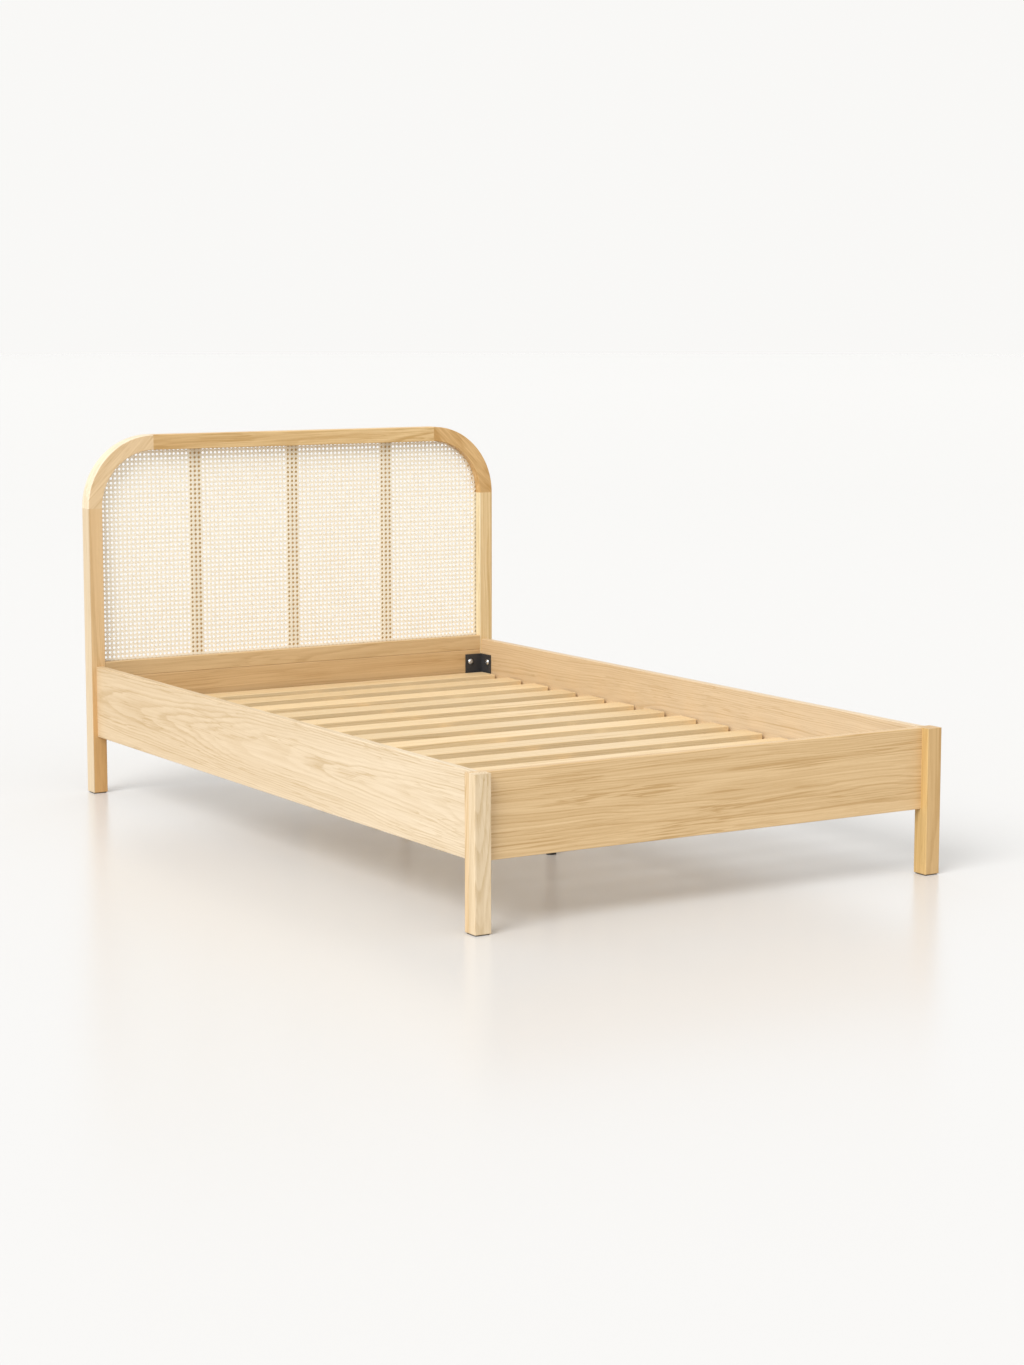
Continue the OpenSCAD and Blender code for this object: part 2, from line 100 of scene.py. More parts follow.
bpy.ops.object.select_all(action="DESELECT")
bpy.ops.mesh.primitive_circle_add(vertices=96, radius=floor_radius, fill_type="NGON")
studio_floor = bpy.context.object
studio_floor.name = "studio_floor"
floor_finish = bpy.data.materials.new("Studio floor")
floor_finish.use_nodes = True
floor_shader = floor_finish.node_tree.nodes["Principled BSDF"]
floor_shader.inputs["Base Color"].default_value = floor_white
floor_shader.inputs["Roughness"].default_value = floor_rough
floor_shader.inputs["Specular IOR Level"].default_value = floor_gloss
studio_floor.data.materials.append(floor_finish)
studio_floor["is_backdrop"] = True

bpy.ops.object.light_add(type="SUN", location=sun_from * sun_away)
soft_light = bpy.context.object
soft_light.name = "soft_light"
soft_light.data.energy = sun_strength
soft_light.data.angle = math.radians(sun_spread)
soft_light.data.color = sun_tint
soft_light.rotation_euler = sun_from.to_track_quat("Z", "Y").to_euler()

bpy.ops.object.camera_add(location=camera_place, rotation=[math.radians(a) for a in camera_turn])
camera = bpy.context.object
camera.name = "camera"
camera.data.lens = lens_mm
camera.data.sensor_width = film_mm
camera.data.clip_end = view_reach
scene.camera = camera

# Posts ------------------------------------------------------------------------------------------
# Four square posts of solid white oak, each glued up from two staves, with eased edges and a small
# chamfer at the floor. They are sanded and finished with a clear matt lacquer.


def oak_figure():
    """Growth rings, pores and streaks of oak: x of Grain runs along the tree, its pith is at y = z = 0."""
    group = bpy.data.node_groups.new("Oak figure", "ShaderNodeTree")
    faces = group.interface
    faces.new_socket(name="Grain", in_out="INPUT", socket_type="NodeSocketVector")
    for name, value in (("Seed", 0.0), ("Ring", 0.004), ("Wander", 0.02), ("Jag", 0.001),
                        ("Ring depth", 0.5), ("Streak", 0.4), ("Line", 0.3), ("Pore", 0.4)):
        socket = faces.new_socket(name=name, in_out="INPUT", socket_type="NodeSocketFloat")
        socket.default_value = value
    for name in ("Pale", "Deep"):
        faces.new_socket(name=name, in_out="INPUT", socket_type="NodeSocketColor")
    faces.new_socket(name="Color", in_out="OUTPUT", socket_type="NodeSocketColor")
    faces.new_socket(name="Roughness", in_out="OUTPUT", socket_type="NodeSocketFloat")
    faces.new_socket(name="Height", in_out="OUTPUT", socket_type="NodeSocketFloat")
    entry = put(group, "NodeGroupInput").outputs

    def noise(vector, stretch, detail, roughness=0.5):
        spread = put(group, "ShaderNodeVectorMath", {0: vector, 1: stretch}, operation="MULTIPLY")
        return put(group, "ShaderNodeTexNoise",
                   {"Vector": spread.outputs[0], "W": entry["Seed"], "Scale": 1.0, "Detail": detail,
                    "Roughness": roughness}, noise_dimensions="4D")

    def swayed(vector, stretch, detail, reach):
        sway = noise(vector, stretch, detail).outputs["Color"]
        centred = put(group, "ShaderNodeVectorMath", {0: sway, 1: (0.5, 0.5, 0.5)},
                      operation="SUBTRACT")
        scaled = put(group, "ShaderNodeVectorMath", {0: centred.outputs[0], "Scale": reach},
                     operation="SCALE")
        return put(group, "ShaderNodeVectorMath", {0: vector, 1: scaled.outputs[0]}).outputs[0]

    def math_of(operation, a, b=0.0, c=0.0):
        return put(group, "ShaderNodeMath", {0: a, 1: b, 2: c}, operation=operation).outputs[0]

    def ramp(value, low, high, to_low=0.0, to_high=1.0):
        return put(group, "ShaderNodeMapRange", {"Value": value, "From Min": low, "From Max": high,
                                                 "To Min": to_low, "To Max": to_high},
                   interpolation_type="SMOOTHSTEP").outputs[0]

    bent = swayed(entry["Grain"], (1.3, 7.0, 7.0), 2.0, entry["Wander"])
    bent = swayed(bent, (13.0, 50.0, 50.0), 2.0, entry["Jag"])
    across = put(group, "ShaderNodeVectorMath", {0: bent, 1: (0.0, 1.0, 1.0)}, operation="MULTIPLY")
    radius = put(group, "ShaderNodeVectorMath", {0: across.outputs[0]}, operation="LENGTH")
    years = math_of("DIVIDE", radius.outputs["Value"], entry["Ring"])
    year = math_of("FLOOR", years)
    season = math_of("FRACT", years)
    spring = math_of("MULTIPLY", ramp(season, 0.0, 0.12), ramp(season, 0.12, 0.70, 1.0, 0.0))
    vigour = put(group, "ShaderNodeTexWhiteNoise", {"W": math_of("ADD", year, entry["Seed"])},
                 noise_dimensions="1D").outputs["Value"]
    ring = math_of("MULTIPLY", spring, ramp(vigour, 0.0, 1.0, 0.15, 1.0))
    broad = ramp(noise(bent, (0.6, 42.0, 42.0), 2.0, 0.6).outputs["Fac"], 0.32, 0.68)
    mid = ramp(noise(bent, (1.8, 210.0, 210.0), 3.0, 0.6).outputs["Fac"], 0.34, 0.66)
    fine = ramp(noise(bent, (5.0, 520.0, 520.0), 3.0, 0.6).outputs["Fac"], 0.34, 0.66)
    wisp = math_of("ABSOLUTE", math_of("SUBTRACT", noise(bent, (1.5, 130.0, 130.0), 2.0).outputs["Fac"],
                                       0.5))
    wisp = ramp(wisp, 0.0, 0.045, 1.0, 0.0)
    wisp = math_of("MULTIPLY", wisp, ramp(noise(bent, (2.5, 30.0, 30.0), 1.0).outputs["Fac"], 0.42, 0.62))
    pore = ramp(noise(bent, (60.0, 2400.0, 2400.0), 1.0).outputs["Fac"], 0.56, 0.72)
    pore = math_of("MULTIPLY", pore, ramp(spring, 0.0, 1.0, 0.35, 1.0))
    streak = math_of("MULTIPLY_ADD", broad, 0.33, math_of("MULTIPLY_ADD", mid, 0.37,
                                                          math_of("MULTIPLY", fine, 0.30)))
    shade = math_of("MULTIPLY", ring, entry["Ring depth"])
    shade = math_of("MULTIPLY_ADD", streak, entry["Streak"], shade)
    shade = math_of("MULTIPLY_ADD", wisp, entry["Line"], shade)
    shade = math_of("MULTIPLY_ADD", pore, entry["Pore"], shade)
    colour = put(group, "ShaderNodeMix", {"Factor": shade, 6: entry["Pale"], 7: entry["Deep"]},
                 data_type="RGBA", clamp_factor=True)
    rough = put(group, "ShaderNodeMapRange", {"Value": shade, "To Min": 0.36, "To Max": 0.55})
    height = math_of("MULTIPLY_ADD", ring, -0.25, math_of("MULTIPLY", pore, -1.0))
    put(group, "NodeGroupOutput", {"Color": colour.outputs[2], "Roughness": rough.outputs[0],
                                   "Height": height})
    return group


oak_group = oak_figure()
along_x = (0.0, 0.0, 0.0)
along_y = (0.0, 0.0, -90.0)
along_z = (0.0, 90.0, 0.0)


def wood(name, turn, pith, lean=(0.0, 0.0), tone=(0.60, 0.46, 0.30), ring=0.004, wander=0.02,
         jag=0.002, depth=0.35, streak=0.5, line=0.3, pore=0.3, seed=0.0, joints=(), fade=None,
         lit_face=None, contrast=1.0):
    """A finish of one board. turn lays the grain along x; pith places the tree's heart and lean tilts it.
    joints lists a glued piece's staves, each (axis, place, tone below, tone above), and fade gives a
    slow change of tone, (axis, from, to, tone at from, tone at to). The lit-face argument, (centre,
    reach, tone), multiplies by tone the colour of the face turned to the light, further than reach from
    the centre (x, z): painted light, a paler and whiter colour for that lit face."""
    finish = bpy.data.materials.new(name)
    finish.use_nodes = True
    tree = finish.node_tree
    shader = tree.nodes["Principled BSDF"]
    place = put(tree, "ShaderNodeTexCoord").outputs["Object"]
    laid = put(tree, "ShaderNodeMapping", {"Vector": place, "Rotation": [math.radians(a) for a in turn]},
               vector_type="POINT")
    hearted = put(tree, "ShaderNodeMapping",
                  {"Vector": laid.outputs[0], "Location": (seed * 1.37, pith[0], pith[1]),
                   "Rotation": (0.0, math.radians(lean[0]), math.radians(lean[1]))},
                  vector_type="POINT")
    pale = [c * (1.0 + 0.09 * contrast) for c in tone]
    deep = [c * (1.0 - f * contrast) for c, f in zip(tone, (0.20, 0.28, 0.42))]
    figure = put(tree, "ShaderNodeGroup", node_tree=oak_group)
    tree.links.new(hearted.outputs[0], figure.inputs["Grain"])
    for key, value in (("Seed", seed), ("Ring", ring), ("Wander", wander), ("Jag", jag),
                       ("Ring depth", depth), ("Streak", streak), ("Line", line), ("Pore", pore),
                       ("Pale", (*pale, 1.0)), ("Deep", (*deep, 1.0))):
        figure.inputs[key].default_value = value
    colour = figure.outputs["Color"]
    shares = []
    for axis, line_at, below, above in joints:
        parts = put(tree, "ShaderNodeSeparateXYZ", {0: place})
        side = put(tree, "ShaderNodeMath", {0: parts.outputs["XYZ".index(axis)], 1: line_at},
                   operation="GREATER_THAN")
        shares.append((side.outputs[0], below, above))
    if joints:
        shift = put(tree, "ShaderNodeMath", {0: shares[0][0], 1: 3.7, 2: seed},
                    operation="MULTIPLY_ADD")
        tree.links.new(shift.outputs[0], figure.inputs["Seed"])
    if fade:
        axis, start, end, first, last = fade
        parts = put(tree, "ShaderNodeSeparateXYZ", {0: place})
        way = put(tree, "ShaderNodeMapRange", {"Value": parts.outputs["XYZ".index(axis)],
                                               "From Min": start, "From Max": end},
                  interpolation_type="SMOOTHSTEP")
        shares.append((way.outputs[0], first, last))
    for share, first, last in shares:
        stain = put(tree, "ShaderNodeMix", {"Factor": share, 6: (*first, 1.0), 7: (*last, 1.0)},
                    data_type="RGBA")
        mixed = put(tree, "ShaderNodeMix", {"Factor": 1.0, 6: colour, 7: stain.outputs[2]},
                    data_type="RGBA", blend_type="MULTIPLY")
        colour = mixed.outputs[2]
    # Painted light: beyond reach from the centre, on the face turned to the light, the colour is multiplied
    # by a paler, whiter tone.
    if lit_face:
        (centre_x, centre_z), reach, lit_face_tone = lit_face
        flat = put(tree, "ShaderNodeVectorMath", {0: place, 1: (1.0, 0.0, 1.0)}, operation="MULTIPLY")
        away = put(tree, "ShaderNodeVectorMath", {0: flat.outputs[0], 1: (centre_x, 0.0, centre_z)},
                   operation="DISTANCE")
        outside = put(tree, "ShaderNodeMath", {0: away.outputs["Value"], 1: reach},
                      operation="GREATER_THAN")
        face = put(tree, "ShaderNodeMix", {"Factor": 1.0, 6: figure.outputs["Color"],
                                           7: (*lit_face_tone, 1.0)}, data_type="RGBA",
                   blend_type="MULTIPLY")
        colour = put(tree, "ShaderNodeMix", {"Factor": outside.outputs[0], 6: colour,
                                             7: face.outputs[2]}, data_type="RGBA").outputs[2]
    tree.links.new(colour, shader.inputs["Base Color"])
    tree.links.new(figure.outputs["Roughness"], shader.inputs["Roughness"])
    relief = put(tree, "ShaderNodeBump", {"Strength": 0.12, "Distance": 0.0004,
                                          "Height": figure.outputs["Height"]})
    tree.links.new(relief.outputs[0], shader.inputs["Normal"])
    return finish


def dress(node, finish):
    """Gives a carried-over piece its finish."""
    mesh = nodes[node].data
    mesh.materials.clear()
    mesh.materials.append(finish)


white = (1.0, 1.0, 1.0)
post_low, post_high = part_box("foot_post_left")
foot_stave_share = 0.56
head_stave_share = 0.55
stave_line = post_low.y + foot_stave_share * (post_high.y - post_low.y)
post_x = (post_low.x + post_high.x) / 2
head_low, head_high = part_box("head_post_left")
head_line = head_low.y + head_stave_share * (head_high.y - head_low.y)
# Depth of the band on a face turned to the light that gets the painted, paler lit-face tone.
lit_face = 0.0022
far = 100.0
dress("foot_post_left", wood("Foot post left oak", along_z, (-post_low.y - 0.07, post_x - 0.008),
                             (1.5, 4.5), tone=(0.655, 0.51, 0.325), ring=0.006, wander=0.05, depth=0.5,
                             streak=0.6, line=0.35, seed=1.0, contrast=1.1,
                             joints=(("Y", stave_line, (1.02, 1.06, 1.14), (1.0, 0.955, 0.90)),)))
# Partly painted shade: the right foot post's darker, more saturated tone stands in for the shade and warm
# bounce from the foot rail on its left face. That left face, turned to the light, is painted a little
# paler. The back stave is darker and warmer.
dress("foot_post_right", wood("Foot post right oak", along_z, (-post_low.y + 0.15, -post_x + 0.03),
                              (0.8, 1.4), tone=(0.578, 0.388, 0.180), ring=0.005, wander=0.04, depth=0.45,
                              streak=0.65, line=0.4, seed=2.0, contrast=1.1,
                              joints=(("Y", stave_line, white, (0.95, 0.90, 0.80)),),
                              lit_face=((-post_high.x + far, 0.2), far - lit_face, (1.07, 1.10, 1.03))))
# Its left face, turned to the light, gets a paler, bluer-white tone: a painted sheen. The post also grows
# darker and warmer towards the floor.
dress("head_post_left", wood("Head post left oak", along_z, (-head_low.y - 0.12, post_x + 0.02),
                             (0.5, 1.0), tone=(0.655, 0.462, 0.252), ring=0.005, wander=0.03, depth=0.4,
                             streak=0.5, line=0.3, seed=3.0,
                             joints=(("Y", head_line, white, (0.94, 0.90, 0.86)),),
                             fade=("Z", 0.10, 0.45, (0.90, 0.76, 0.56), white),
                             lit_face=((head_low.x + far, 0.4), far - lit_face, (0.95, 1.09, 1.37))))
# Its left face, turned to the light, gets a much paler, bluer-white tone: a painted sheen.
dress("head_post_right", wood("Head post right oak", along_z, (-head_low.y - 0.05, -post_x + 0.30),
                              (0.4, 0.9), tone=(0.75, 0.58, 0.34), ring=0.013, wander=0.03, depth=0.8,
                              streak=1.0, line=0.3, seed=4.0, contrast=1.3,
                              lit_face=((-head_high.x + far, 0.4), far - lit_face, (1.06, 1.24, 1.58))))

# Arched corners, top rail and lower rail of the headboard ---------------------------------------
# The corners are bandsawn from solid oak with the grain along their chord, butted against the posts
# and the top rail on dowels, then rounded over. The top rail is one plank in a warmer tone.

corner_low, corner_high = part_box("head_corner_left")
arch_r = corner_high.x - corner_low.x
chord_left = (0.0, 45.0, 0.0)
chord_right = (0.0, -45.0, 0.0)
# The left corner's outer arched face, turned to the light, gets a paler, bluer-white tone: a painted sheen.
dress("head_corner_left", wood("Corner left oak", chord_left, (-1.13, -1.03), (0.8, 1.5), seed=5.0,
                               tone=(0.71, 0.54, 0.335), ring=0.007, wander=0.03, depth=0.4,
                               streak=0.75, line=0.4, contrast=1.05,
                               lit_face=((corner_high.x, corner_low.z), arch_r - lit_face, (1.09, 1.22, 1.52))))
dress("head_corner_right", wood("Corner right oak", chord_right, (-1.14, -1.05), (1.0, 2.0), seed=6.4,
                                tone=(0.67, 0.455, 0.22), ring=0.008, wander=0.04, depth=0.4,
                                streak=1.1, line=0.4, contrast=1.5))
dress("head_top_rail", wood("Top rail oak", along_x, (-1.10, -0.94), (0.8, 1.2), seed=7.0,
                            tone=(0.70, 0.512, 0.272), ring=0.006, wander=0.04, depth=0.6, streak=0.9,
                            line=0.6, contrast=1.4,
                            fade=("X", cad_low.x + 0.2, cad_low.x + 0.55, (0.93, 0.88, 0.82), white)))
dress("cane_bottom_rail", wood("Lower rail oak", along_x, (-1.16, -0.32), (0.4, 0.8), seed=8.0,
                               tone=(0.58, 0.41, 0.22), line=0.4))

# Side rails, foot rail and head rail ------------------------------------------------------------
# Thin boards set back from the posts' faces: oak veneer on a solid core, edges lipped and eased.
# The side rails are crown cut, with long cathedrals; the foot rail is cut straight, with streaks.

# The side rails' paler, less saturated oak and the foot rail's deeper, more saturated one are partly lit
# and shaded copies of one oak: painted light on the faces turned to the light, painted shade on the foot
# rail's front, which the light reaches less.
rail_low, rail_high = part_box("side_rail_left")
rail_fade = ("Y", rail_low.y, rail_high.y, (1.01, 1.035, 1.085), (0.905, 0.865, 0.80))
dress("side_rail_left", wood("Side rail left oak", along_y, (rail_low.x + 0.085, -0.27), (0.5, 1.6),
                             tone=(0.667, 0.54, 0.375), ring=0.0048, wander=0.035, jag=0.004,
                             depth=0.55, streak=0.5, line=0.5, seed=9.0, fade=rail_fade))
dress("side_rail_right", wood("Side rail right oak", along_y, (-rail_low.x - 0.09, -0.24), (0.6, -1.3),
                              tone=(0.63, 0.49, 0.325), ring=0.0048, wander=0.035, jag=0.004,
                              depth=0.5, streak=0.5, line=0.4, seed=10.0, fade=rail_fade))
dress("foot_rail", wood("Foot rail oak", along_x, (1.35, -0.10), (0.9, 0.7), tone=(0.645, 0.463, 0.255),
                        ring=0.0032, wander=0.03, jag=0.002, depth=0.45, streak=0.7, line=1.0,
                        seed=11.0, contrast=1.2))
dress("head_rail", wood("Head rail oak", along_x, (-0.95, -0.12), (0.5, 0.5), tone=(0.58, 0.40, 0.21),
                        ring=0.005, wander=0.03, depth=0.35, streak=0.8, line=0.5, seed=12.0))

# Cane -------------------------------------------------------------------------------------------
# Woven rattan cane, half-inch mesh: upright pairs and level pairs in plain weave, and two sets of
# diagonals, one over the uprights and one over the levels, which leave eight-sided holes.

mesh_pitch = 0.0127
strand_gap = 0.0029
strand_w = 0.0024
strand_t = 0.0006
skin_w = 0.76
pair_rise = 0.0003
diagonal_rise = 0.0006
weld = 0.00002
crossing_share = 0.1
edge_angle = 32
cane_low, cane_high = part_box("cane_panel")
cane_mid = (cane_low + cane_high) / 2
weave_mid = cane_mid + Vector((mesh_pitch / 2, 0.0, -0.0015))


def pick(obj, domain, test):
    """Selects, in edit mode, the vertices or faces of obj whose place passes the test."""
    bpy.ops.object.mode_set(mode="EDIT")
    bpy.ops.mesh.select_mode(type=domain)
    bpy.ops.mesh.select_all(action="DESELECT")
    bpy.ops.object.mode_set(mode="OBJECT")
    for part in (obj.data.vertices if domain == "VERT" else obj.data.polygons):
        part.select = test(part)
    bpy.ops.object.mode_set(mode="EDIT")


def two_strands(name, apart, length, crossing, rise):
    """Two neighbouring strands that pass over and under by turns, one mesh pitch long."""
    tubes = []
    for side in (-1, 1):
        bpy.ops.object.select_all(action="DESELECT")
        bpy.ops.mesh.primitive_cube_add(size=1.0, location=(side * apart / 2, 0.0, length / 2))
        tube = bpy.context.object
        bpy.ops.transform.resize(value=(strand_w, strand_t, length))
        bpy.ops.object.transform_apply(location=True, rotation=True, scale=True)
        pick(tube, "FACE", lambda face: abs(face.normal.z) > 0.9)
        bpy.ops.mesh.delete(type="FACE")
        bpy.ops.mesh.select_all(action="SELECT")
        bpy.ops.mesh.bisect(plane_co=(0.0, 0.0, crossing), plane_no=(0.0, 0.0, 1.0))
        pick(tube, "VERT", lambda point: point.co.y < 0)
        bpy.ops.transform.resize(value=(skin_w, 1.0, 1.0), center_override=(side * apart / 2, 0.0, 0.0))
        pick(tube, "VERT", lambda point: abs(point.co.z - crossing) > crossing * crossing_share)
        bpy.ops.transform.translate(value=(0.0, side * rise, 0.0))
        pick(tube, "VERT", lambda point: abs(point.co.z - crossing) <= crossing * crossing_share)
        bpy.ops.transform.translate(value=(0.0, -side * rise, 0.0))
        bpy.ops.object.mode_set(mode="OBJECT")
        tubes.append(tube)
    tubes[0].select_set(True)
    tubes[1].select_set(True)
    bpy.context.view_layer.objects.active = tubes[0]
    bpy.ops.object.join()
    tubes[0].name = name
    return tubes[0]


def repeat(obj, offset, count, merge):
    """Copies obj in a row, joined end to end where merge is set."""
    row = obj.modifiers.new("Row", "ARRAY")
    row.use_relative_offset = False
    row.use_constant_offset = True
    row.constant_offset_displace = offset
    row.count = count
    row.use_merge_vertices = merge
    row.merge_threshold = weld
    bpy.ops.object.modifier_apply(modifier=row.name)


def weave(name, apart, length, crossing, rise, step, start, turn, reach):
    """A whole set of strands, laid out past the field's edge, turned and cut to the field's outline."""
    obj = two_strands(name, apart, length, crossing, rise)
    long_count = 2 * math.ceil(reach[1] / length) + 2
    side_count = 2 * math.ceil(reach[0] / step) + 1
    repeat(obj, (0.0, 0.0, length), long_count, True)
    bpy.ops.object.mode_set(mode="EDIT")
    bpy.ops.mesh.select_mode(type="VERT")
    bpy.ops.mesh.select_all(action="SELECT")
    bpy.ops.mesh.fill_holes(sides=4)
    bpy.ops.object.mode_set(mode="OBJECT")
    repeat(obj, (step, 0.0, 0.0), side_count, False)
    obj.data.transform(Matrix.Translation((start[0] - step * (side_count // 2), 0.0,
                                           start[1] - length * (long_count // 2))))
    obj.data.transform(Matrix.Rotation(math.radians(turn), 4, "Y"))
    obj.data.transform(Matrix.Translation(weave_mid))
    cut = obj.modifiers.new("Outline", "BOOLEAN")
    cut.operation = "INTERSECT"
    cut.solver = "MANIFOLD"
    cut.object = cane_outline
    bpy.ops.object.modifier_apply(modifier=cut.name)
    bpy.ops.object.shade_smooth_by_angle(angle=math.radians(edge_angle))
    return obj


bpy.ops.object.select_all(action="DESELECT")
cane_outline = nodes["cane_panel"].copy()
cane_outline.data = nodes["cane_panel"].data.copy()
cane_outline.parent = None
scene.collection.objects.link(cane_outline)
bpy.context.view_layer.objects.active = cane_outline
cane_outline.select_set(True)
bpy.ops.object.mode_set(mode="EDIT")
bpy.ops.mesh.select_all(action="SELECT")
bpy.ops.mesh.remove_doubles(threshold=0.00001)
bpy.ops.transform.resize(value=(1.0, 1.5, 1.0), center_override=cane_mid)
bpy.ops.object.mode_set(mode="OBJECT")


def cane_finish(name, turn, seed):
    """Peeled rattan: pale straw, made paler than the cane's own colour as painted light for light passing
    through the thin strands, with faint fibres along the strand and a slightly glossy outer rind.
    """
    finish = bpy.data.materials.new(name)
    finish.use_nodes = True
    tree = finish.node_tree
    shader = tree.nodes["Principled BSDF"]
    place = put(tree, "ShaderNodeTexCoord").outputs["Object"]
    laid = put(tree, "ShaderNodeMapping", {"Vector": place, "Rotation": (0.0, math.radians(-turn), 0.0)},
               vector_type="POINT").outputs[0]
    strands = put(tree, "ShaderNodeVectorMath", {0: laid, 1: (330.0, 0.0, 4.0)}, operation="MULTIPLY")
    tone = put(tree, "ShaderNodeTexNoise", {"Vector": strands.outputs[0], "W": seed, "Scale": 1.0,
                                            "Detail": 2.0}, noise_dimensions="4D")
    thin = put(tree, "ShaderNodeVectorMath", {0: laid, 1: (4000.0, 900.0, 25.0)}, operation="MULTIPLY")
    fibre = put(tree, "ShaderNodeTexNoise", {"Vector": thin.outputs[0], "W": seed, "Scale": 1.0,
                                             "Detail": 2.0}, noise_dimensions="4D")
    blend = put(tree, "ShaderNodeMath", {0: fibre.outputs["Fac"], 1: 0.35}, operation="MULTIPLY_ADD")
    share = put(tree, "ShaderNodeMath", {0: tone.outputs["Fac"], 1: 0.65}, operation="MULTIPLY")
    tree.links.new(share.outputs[0], blend.inputs[2])
    ramp = put(tree, "ShaderNodeValToRGB", {"Fac": blend.outputs[0]})
    # Painted light: both straw tones are set paler than the cane itself, standing in for light through the
    # strands and for less shade within the weave.
    ramp.color_ramp.elements[0].position = 0.30
    ramp.color_ramp.elements[0].color = (0.795, 0.69, 0.515, 1.0)
    ramp.color_ramp.elements[1].position = 0.62
    ramp.color_ramp.elements[1].color = (0.90, 0.855, 0.75, 1.0)
    tree.links.new(ramp.outputs["Color"], shader.inputs["Base Color"])
    gloss = put(tree, "ShaderNodeMapRange", {"Value": fibre.outputs["Fac"], "To Min": 0.46, "To Max": 0.66})
    tree.links.new(gloss.outputs[0], shader.inputs["Roughness"])
    relief = put(tree, "ShaderNodeBump", {"Strength": 0.2, "Distance": 0.0001,
                                          "Height": fibre.outputs["Fac"]})
    tree.links.new(relief.outputs[0], shader.inputs["Normal"])
    return finish


half_w = (cane_high.x - cane_low.x) / 2
half_h = (cane_high.z - cane_low.z) / 2
slant = mesh_pitch * math.sqrt(2)
slant_reach = (half_w + half_h) / math.sqrt(2)
upright_start = (mesh_pitch / 2, (mesh_pitch - strand_gap) / 2)
slant_start = (slant / 2, slant / 4)
for set_name, apart, length, crossing, rise, step, start, turn, reach in (
        ("cane_upright_strands", strand_gap, mesh_pitch, strand_gap, pair_rise, mesh_pitch,
         upright_start, 0, (half_w, half_h)),
        ("cane_level_strands", strand_gap, mesh_pitch, strand_gap, pair_rise, mesh_pitch,
         upright_start, 90, (half_h, half_w)),
        ("cane_rising_strands", slant / 2, slant, slant / 2, diagonal_rise, slant,
         slant_start, 45, (slant_reach, slant_reach)),
        ("cane_falling_strands", slant / 2, slant, slant / 2, diagonal_rise, slant,
         slant_start, -45, (slant_reach, slant_reach))):
    strands = weave(set_name, apart, length, crossing, rise, step, start, turn, reach)
    strands.data.materials.clear()
    strands.data.materials.append(cane_finish(set_name.replace("_", " "), turn, turn * 0.1))
    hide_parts("cane_panel")
    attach(strands, "bed_frame")
bpy.data.objects.remove(cane_outline)

# Bars behind the cane ---------------------------------------------------------------------------
# Three flat bars of light wood between the lower rail and the top rail, doweled at both ends, with
# the cane lying on their front faces.

bar_pitch = 0.306
# The bars' deep, saturated brown is darker than their light wood: partly painted shade, for the shade they
# sit in behind the cane.
for place, name in enumerate(("left", "middle", "right")):
    dress("cane_bar_" + name, wood("Cane bar %s wood" % name, along_z, (-1.10, bar_pitch * (place - 1)),
                                   (0.3, 0.6), tone=(0.52, 0.33, 0.10), depth=0.25, streak=0.4,
                                   seed=20.0 + place))

# Ledgers and centre beam ------------------------------------------------------------------------
# Square ledgers and a deeper centre beam of planed pine, with no finish. The ledgers are screwed to
# the side rails, and the beam hangs in a steel shoe at each end.

pine = (0.67, 0.51, 0.30)
for name, seed, pith in (("side_ledger_left", 30.0, (-0.53, -0.16)),
                         ("side_ledger_right", 31.0, (0.52, -0.18)),
                         ("centre_beam", 32.0, (0.04, -0.28))):
    dress(name, wood(name.replace("_", " ") + " pine", along_y, pith, (0.5, 0.4), tone=pine, seed=seed,
                     depth=0.6, streak=0.3, line=0.1, pore=0.0))

# Slats and tapes --------------------------------------------------------------------------------
# Fourteen planed pine slats, crown cut, lying loose on the ledgers. Two woven cotton tapes are
# stapled to their undersides and keep them apart.

slat_names = sorted(name for name in nodes if name.startswith("slat_") and name[5:].isdigit())
for count, name in enumerate(slat_names):
    low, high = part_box(name)
    middle = (low + high) / 2
    strength = 1.0 + 0.06 * math.sin(count * 2.4)
    dress(name, wood(name.replace("_", " ") + " pine", along_x,
                     (-middle.y + 0.02 * math.sin(count * 1.7), -middle.z + 0.035 + 0.01 * math.sin(count)),
                     (0.6 * math.sin(count * 1.3), 0.8 * math.cos(count * 2.1)),
                     tone=[strength * c for c in pine], depth=0.55, streak=0.3, line=0.1, pore=0.0,
                     seed=40.0 + count))


wave_span = 0.314


def cloth_finish(name, colour, thread):
    """Plain woven tape: fine warp and weft threads, one wave of the pattern to each thread."""
    finish = bpy.data.materials.new(name)
    finish.use_nodes = True
    tree = finish.node_tree
    shader = tree.nodes["Principled BSDF"]
    place = put(tree, "ShaderNodeTexCoord").outputs["Object"]
    warp = put(tree, "ShaderNodeTexWave", {"Vector": place, "Scale": wave_span / thread},
               bands_direction="X")
    weft = put(tree, "ShaderNodeTexWave", {"Vector": place, "Scale": wave_span / thread},
               bands_direction="Y")
    cloth = put(tree, "ShaderNodeMath", {0: warp.outputs["Fac"], 1: weft.outputs["Fac"]},
                operation="MULTIPLY")
    dark = tuple(0.7 * c for c in colour)
    mix = put(tree, "ShaderNodeMix", {"Factor": cloth.outputs[0], 6: (*dark, 1.0), 7: (*colour, 1.0)},
              data_type="RGBA")
    tree.links.new(mix.outputs[2], shader.inputs["Base Color"])
    relief = put(tree, "ShaderNodeBump", {"Strength": 0.5, "Distance": 0.0003, "Height": cloth.outputs[0]})
    tree.links.new(relief.outputs[0], shader.inputs["Normal"])
    shader.inputs["Roughness"].default_value = 0.9
    return finish


tape_cotton = cloth_finish("Tape cotton", (0.80, 0.78, 0.72), 0.0012)
dress("slat_tape_left", tape_cotton)
dress("slat_tape_right", tape_cotton)

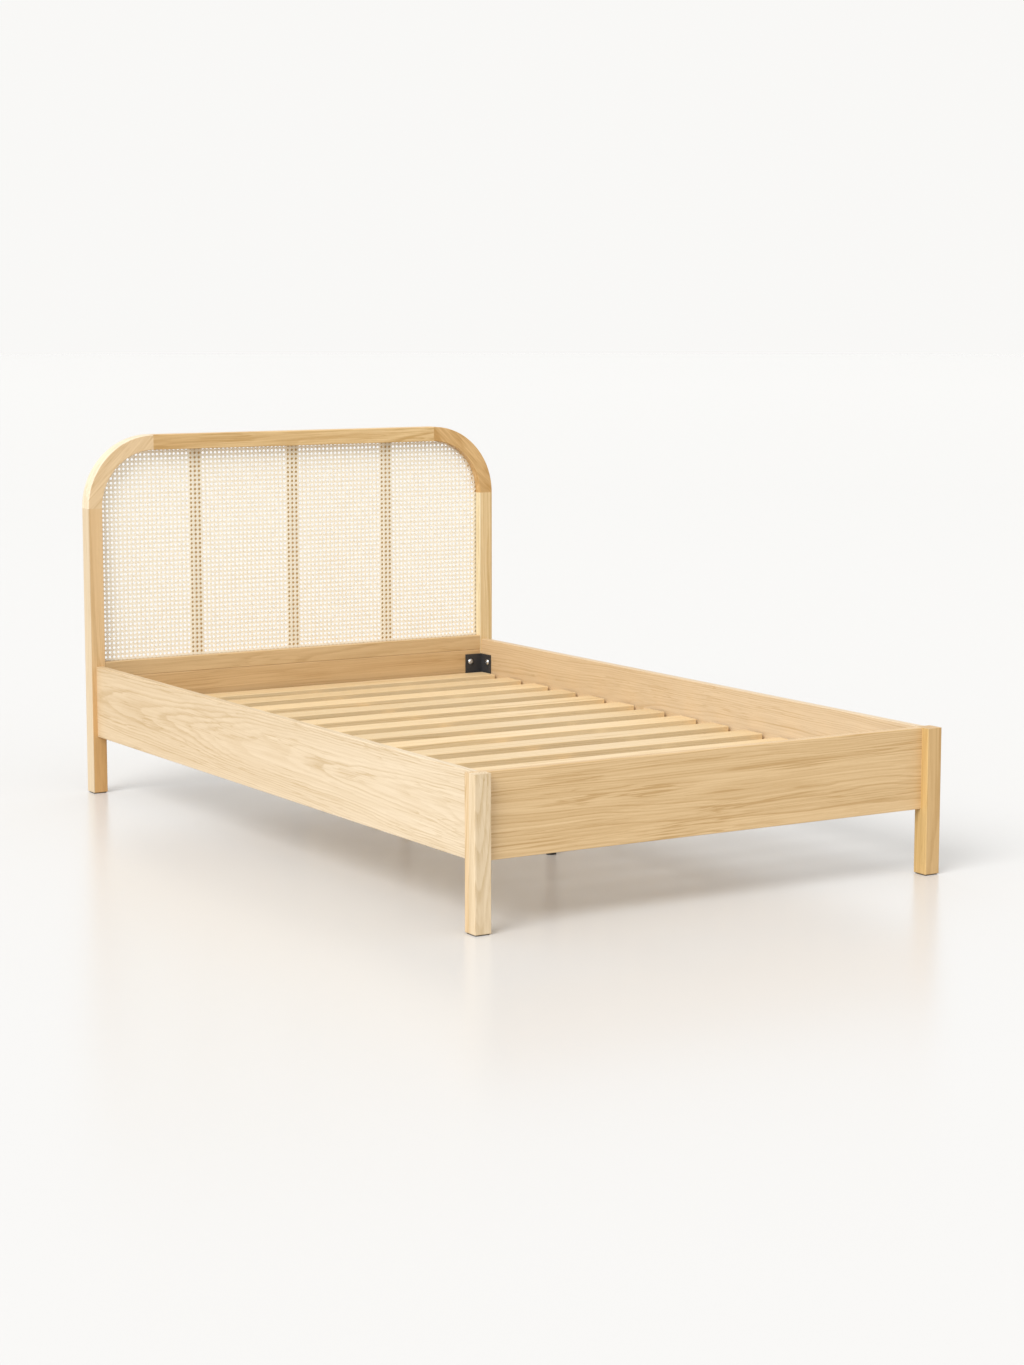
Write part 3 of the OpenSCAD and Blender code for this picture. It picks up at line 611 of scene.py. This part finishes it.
# Centre legs and levelling feet -----------------------------------------------------------------
# Two turned beech legs, halved at the top so that the beam stands on their shoulder, and bolted to
# it. Each has a screw with a hexagon and a black plastic pad, which is turned to meet the floor.

for name, seed in (("centre_leg_front", 60.0), ("centre_leg_rear", 61.0)):
    dress(name, wood(name.replace("_", " ") + " beech", along_z, (0.1, -0.4), (0.4, 0.6),
                     tone=(0.40, 0.26, 0.12), ring=0.003, depth=0.3, streak=0.4, seed=seed))


def plain_finish(name, colour, rough, metal=0.0, grain=0.0, scale=900.0):
    """Metal or plastic with a fine uneven surface: its tone and gloss vary a little over the piece."""
    finish = bpy.data.materials.new(name)
    finish.use_nodes = True
    tree = finish.node_tree
    shader = tree.nodes["Principled BSDF"]
    place = put(tree, "ShaderNodeTexCoord").outputs["Object"]
    speck = put(tree, "ShaderNodeTexNoise", {"Vector": place, "Scale": scale, "Detail": 3.0})
    cloud = put(tree, "ShaderNodeTexNoise", {"Vector": place, "Scale": scale / 12, "Detail": 3.0})
    mix = put(tree, "ShaderNodeMix", {"Factor": cloud.outputs["Fac"], 6: (*[0.82 * c for c in colour], 1.0),
                                      7: (*[min(1.0, 1.12 * c) for c in colour], 1.0)}, data_type="RGBA")
    tree.links.new(mix.outputs[2], shader.inputs["Base Color"])
    gloss = put(tree, "ShaderNodeMapRange", {"Value": cloud.outputs["Fac"], "To Min": rough[0],
                                             "To Max": rough[1]})
    tree.links.new(gloss.outputs[0], shader.inputs["Roughness"])
    relief = put(tree, "ShaderNodeBump", {"Strength": grain, "Distance": 0.0002,
                                          "Height": speck.outputs["Fac"]})
    tree.links.new(relief.outputs[0], shader.inputs["Normal"])
    shader.inputs["Metallic"].default_value = metal
    return finish


pad_black = plain_finish("Pad plastic", (0.035, 0.034, 0.033), (0.45, 0.6), grain=0.3)
zinc = plain_finish("Zinc plate", (0.60, 0.61, 0.62), (0.25, 0.42), metal=1.0, grain=0.15, scale=1400.0)
brass = plain_finish("Passivated insert", (0.62, 0.47, 0.22), (0.3, 0.45), metal=1.0, grain=0.1)
for end in ("front", "rear"):
    dress("leveller_pad_" + end, pad_black)
    dress("leveller_screw_" + end, zinc)

# Brackets, bolts, hangers, screws and dowels ----------------------------------------------------
# Steel angles with a black powder coat in the four corners, bolted into threaded inserts; welded
# shoes for the beam; zinc-plated bolts and screws. The dowels are beech, glued in both pieces.

powder_black = plain_finish("Black powder coat", (0.030, 0.030, 0.032), (0.42, 0.58), grain=0.3)
for name in ("corner_bracket_foot_left", "corner_bracket_foot_right", "corner_bracket_head_left",
             "corner_bracket_head_right", "beam_hanger_foot", "beam_hanger_head"):
    dress(name, powder_black)
for name in ("bracket_bolts", "leg_bolts", "leg_washers", "leg_nuts", "ledger_screws", "hanger_screws"):
    dress(name, zinc)
dress("threaded_inserts", brass)
dowel_beech = wood("Dowel beech", along_x, (0.2, 0.3), tone=(0.55, 0.38, 0.21), seed=70.0)
dress("dowels", dowel_beech)
dress("bar_dowels", dowel_beech)

# Glides -----------------------------------------------------------------------------------------
# Four squares of brown pressed felt, one glued under each post, a little smaller than the post so that
# their edges stay out of sight.

felt = plain_finish("Felt", (0.055, 0.042, 0.032), (0.9, 1.0), grain=0.9, scale=1800.0)
dress("post_glides", felt)

# Sizes ------------------------------------------------------------------------------------------
low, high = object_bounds()
